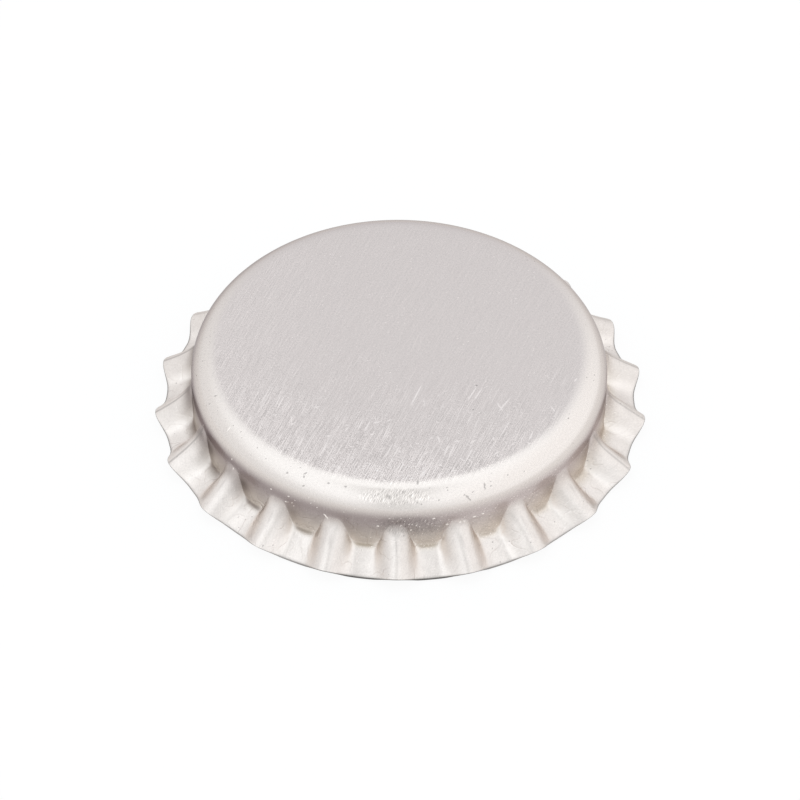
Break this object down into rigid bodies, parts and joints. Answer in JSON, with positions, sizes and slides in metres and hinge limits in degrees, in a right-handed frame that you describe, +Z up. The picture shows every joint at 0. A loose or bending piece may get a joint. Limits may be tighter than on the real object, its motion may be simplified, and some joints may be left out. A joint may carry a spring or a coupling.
{
  "type": "bottle cap",
  "caption": "Round pressed tinplate crown cap with a flat brushed top, a rolled shoulder, a short neck, a fluted flared skirt and a moulded sealing liner inside.",
  "frame": {"origin": "centre of the cap on the surface it stands on, teeth down", "axes": "+Z up along the cap's axis, towards the flat top panel; one tooth points along -Y"},
  "size_m": [0.032, 0.0319, 0.0057],
  "materials": {
    "tinplate": "bare tinplate, brushed one way on the flat top, pressed satin on the skirt",
    "liner": "moulded soft compound, matt off-white"
  },
  "bodies": {
    "root": {"shell": "tinplate", "liner": "liner"}
  },
  "joints": []
}
